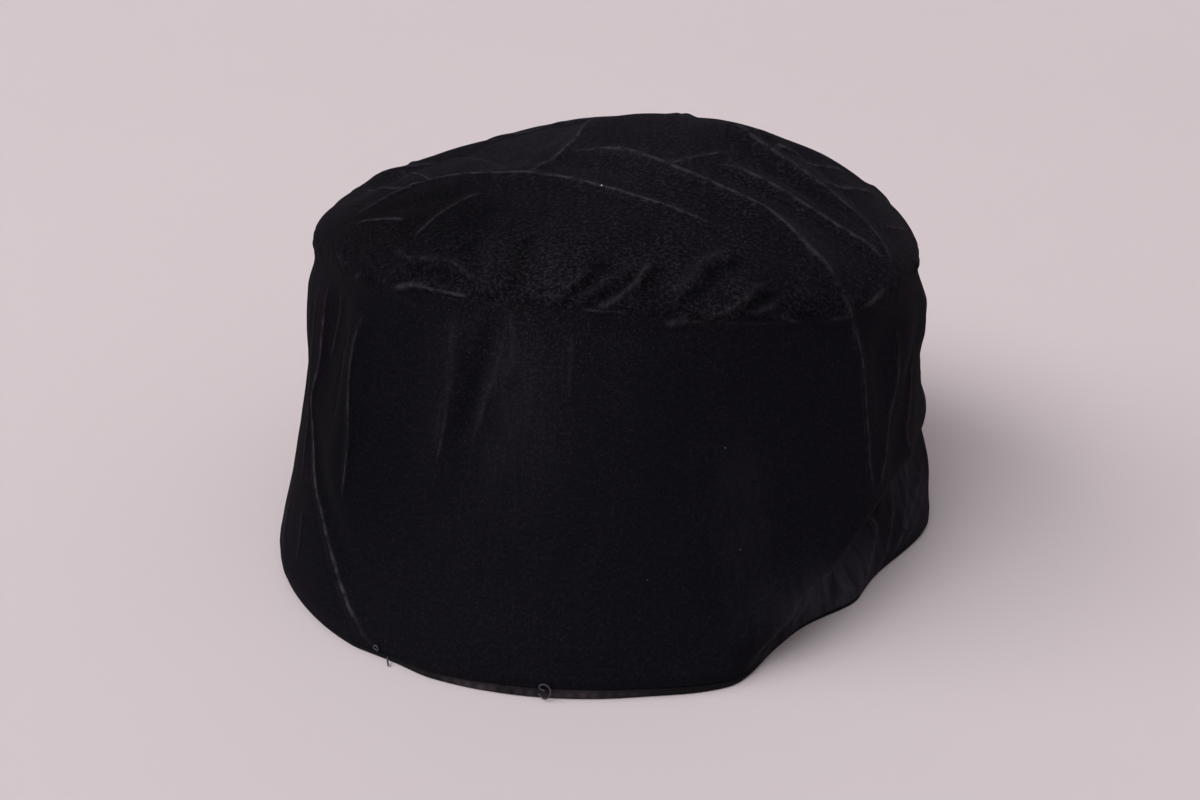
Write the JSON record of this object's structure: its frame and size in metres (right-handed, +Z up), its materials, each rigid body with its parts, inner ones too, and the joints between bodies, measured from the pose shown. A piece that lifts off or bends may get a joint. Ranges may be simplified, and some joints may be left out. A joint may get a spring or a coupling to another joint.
{
  "type": "tubeteika skullcap",
  "caption": "Soft black velvet skullcap with a puffed, creased flat crown sewn to a tall flared band with a folded hem, standing on its rim.",
  "frame": {"origin": "middle of the cap's foot, on the surface that it stands on", "axes": "+Z up, -Y towards the side that faces the picture's camera, +X to the right in the picture"},
  "size_m": [0.1781, 0.1845, 0.1069],
  "materials": {
    "crown_velvet": "matt black velvet, pile brushed several ways, pale lines along its creases",
    "band_velvet": "matt black velvet, pile running down",
    "hem_cloth": "black velvet worn nearly bare along the turned edge, slightly brown"
  },
  "bodies": {
    "root": {"crown": "crown_velvet", "band": "band_velvet", "hem": "hem_cloth"}
  },
  "joints": []
}
